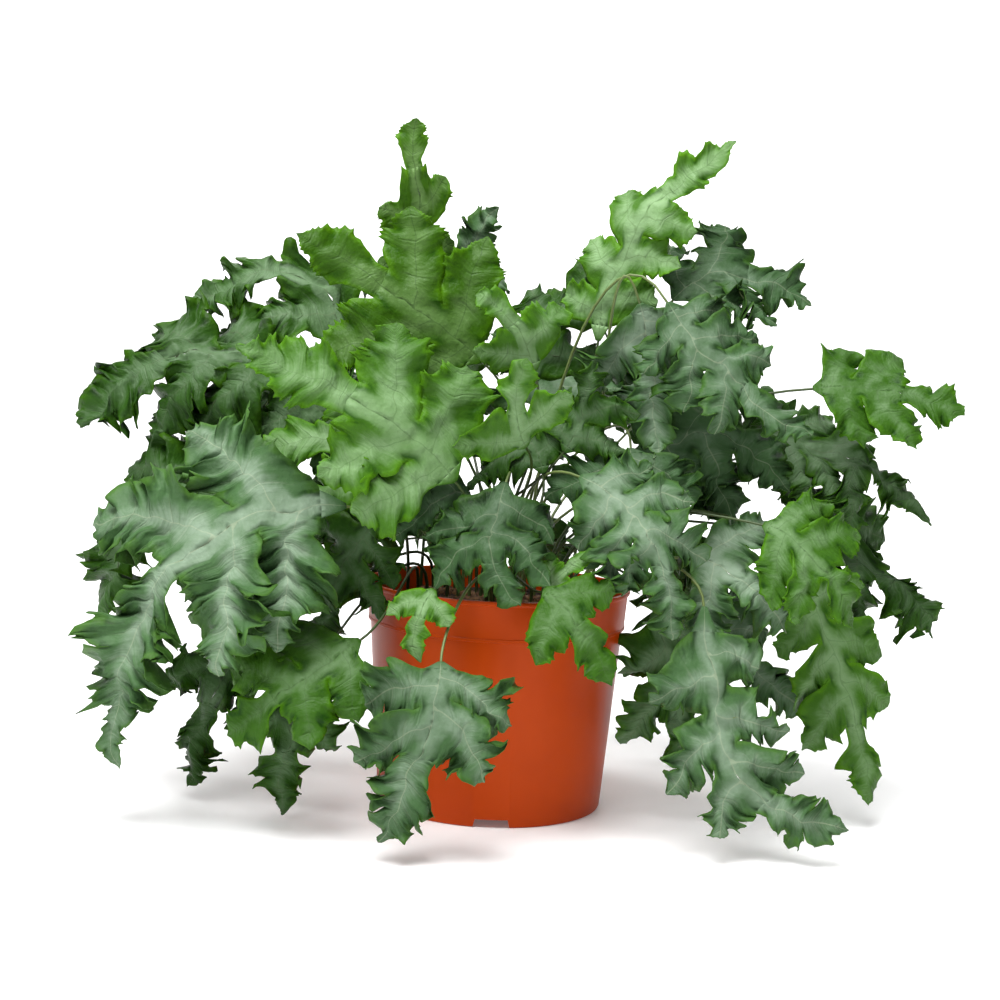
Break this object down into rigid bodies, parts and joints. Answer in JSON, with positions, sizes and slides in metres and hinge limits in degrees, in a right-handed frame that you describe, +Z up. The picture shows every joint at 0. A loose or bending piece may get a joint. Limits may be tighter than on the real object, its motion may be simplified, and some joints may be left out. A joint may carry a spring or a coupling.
{
  "type": "potted fern",
  "caption": "Blue-green fern with lobed, ruffled fronds that arch out of a tapered terracotta-coloured plastic plant pot.",
  "frame": {"origin": "middle of the pot's flat foot, where the pot stands on the floor", "axes": "+Z up; +X to the right of someone who looks at the front, along the plant's widest reach; -Y towards the front"},
  "size_m": [0.6984, 0.445, 0.538],
  "materials": {
    "pot": "satin",
    "soil": "loose damp peat",
    "rhizome": "covered with papery golden-brown scales",
    "leaf_young": "fresh green, soft sheen",
    "leaf_mature": "blue-grey green, waxy bloom",
    "leaf_curly": "dark green, waxy"
  },
  "bodies": {
    "root": {"pot": "pot", "soil": "soil", "rhizome": "rhizome", "frond_top_spike": "leaf_young", "frond_top_left": "leaf_young", "frond_top_right": "leaf_young", "frond_top_small": "leaf_mature", "frond_top_fresh": "leaf_young", "frond_top_middle": "leaf_curly", "frond_right_high": "leaf_mature", "frond_right_middle": "leaf_mature", "frond_right_tip": "leaf_young", "frond_right_curled": "leaf_curly", "frond_right_outer": "leaf_curly", "frond_right_green": "leaf_young", "frond_right_hanging": "leaf_young", "frond_right_cascade": "leaf_mature", "frond_right_low": "leaf_mature", "frond_right_foot": "leaf_mature", "frond_right_inner": "leaf_curly", "frond_right_behind": "leaf_mature", "frond_front_right": "leaf_young", "frond_front_sprout": "leaf_young", "frond_front_middle": "leaf_young", "frond_front_hanging": "leaf_mature", "frond_front_inner": "leaf_mature", "frond_front_pot": "leaf_mature", "frond_front_small": "leaf_young", "frond_front_left": "leaf_young", "frond_left_green": "leaf_young", "frond_left_low": "leaf_young", "frond_left_hanging": "leaf_curly", "frond_left_foot": "leaf_curly", "frond_left_great": "leaf_mature", "frond_left_outer": "leaf_curly", "frond_left_high": "leaf_curly", "frond_left_arch": "leaf_curly", "frond_right_drop": "leaf_mature", "frond_centre_right": "leaf_mature", "frond_centre_dark": "leaf_curly", "frond_left_inner": "leaf_curly", "frond_left_behind": "leaf_curly", "frond_back_left": "leaf_mature", "frond_back_high": "leaf_curly", "frond_back_middle": "leaf_mature", "frond_back_right": "leaf_mature", "frond_back_low_left": "leaf_curly", "frond_back_low": "leaf_mature", "frond_back_low_right": "leaf_curly", "frond_right_crest": "leaf_mature", "frond_centre_high": "leaf_curly"}
  },
  "joints": []
}
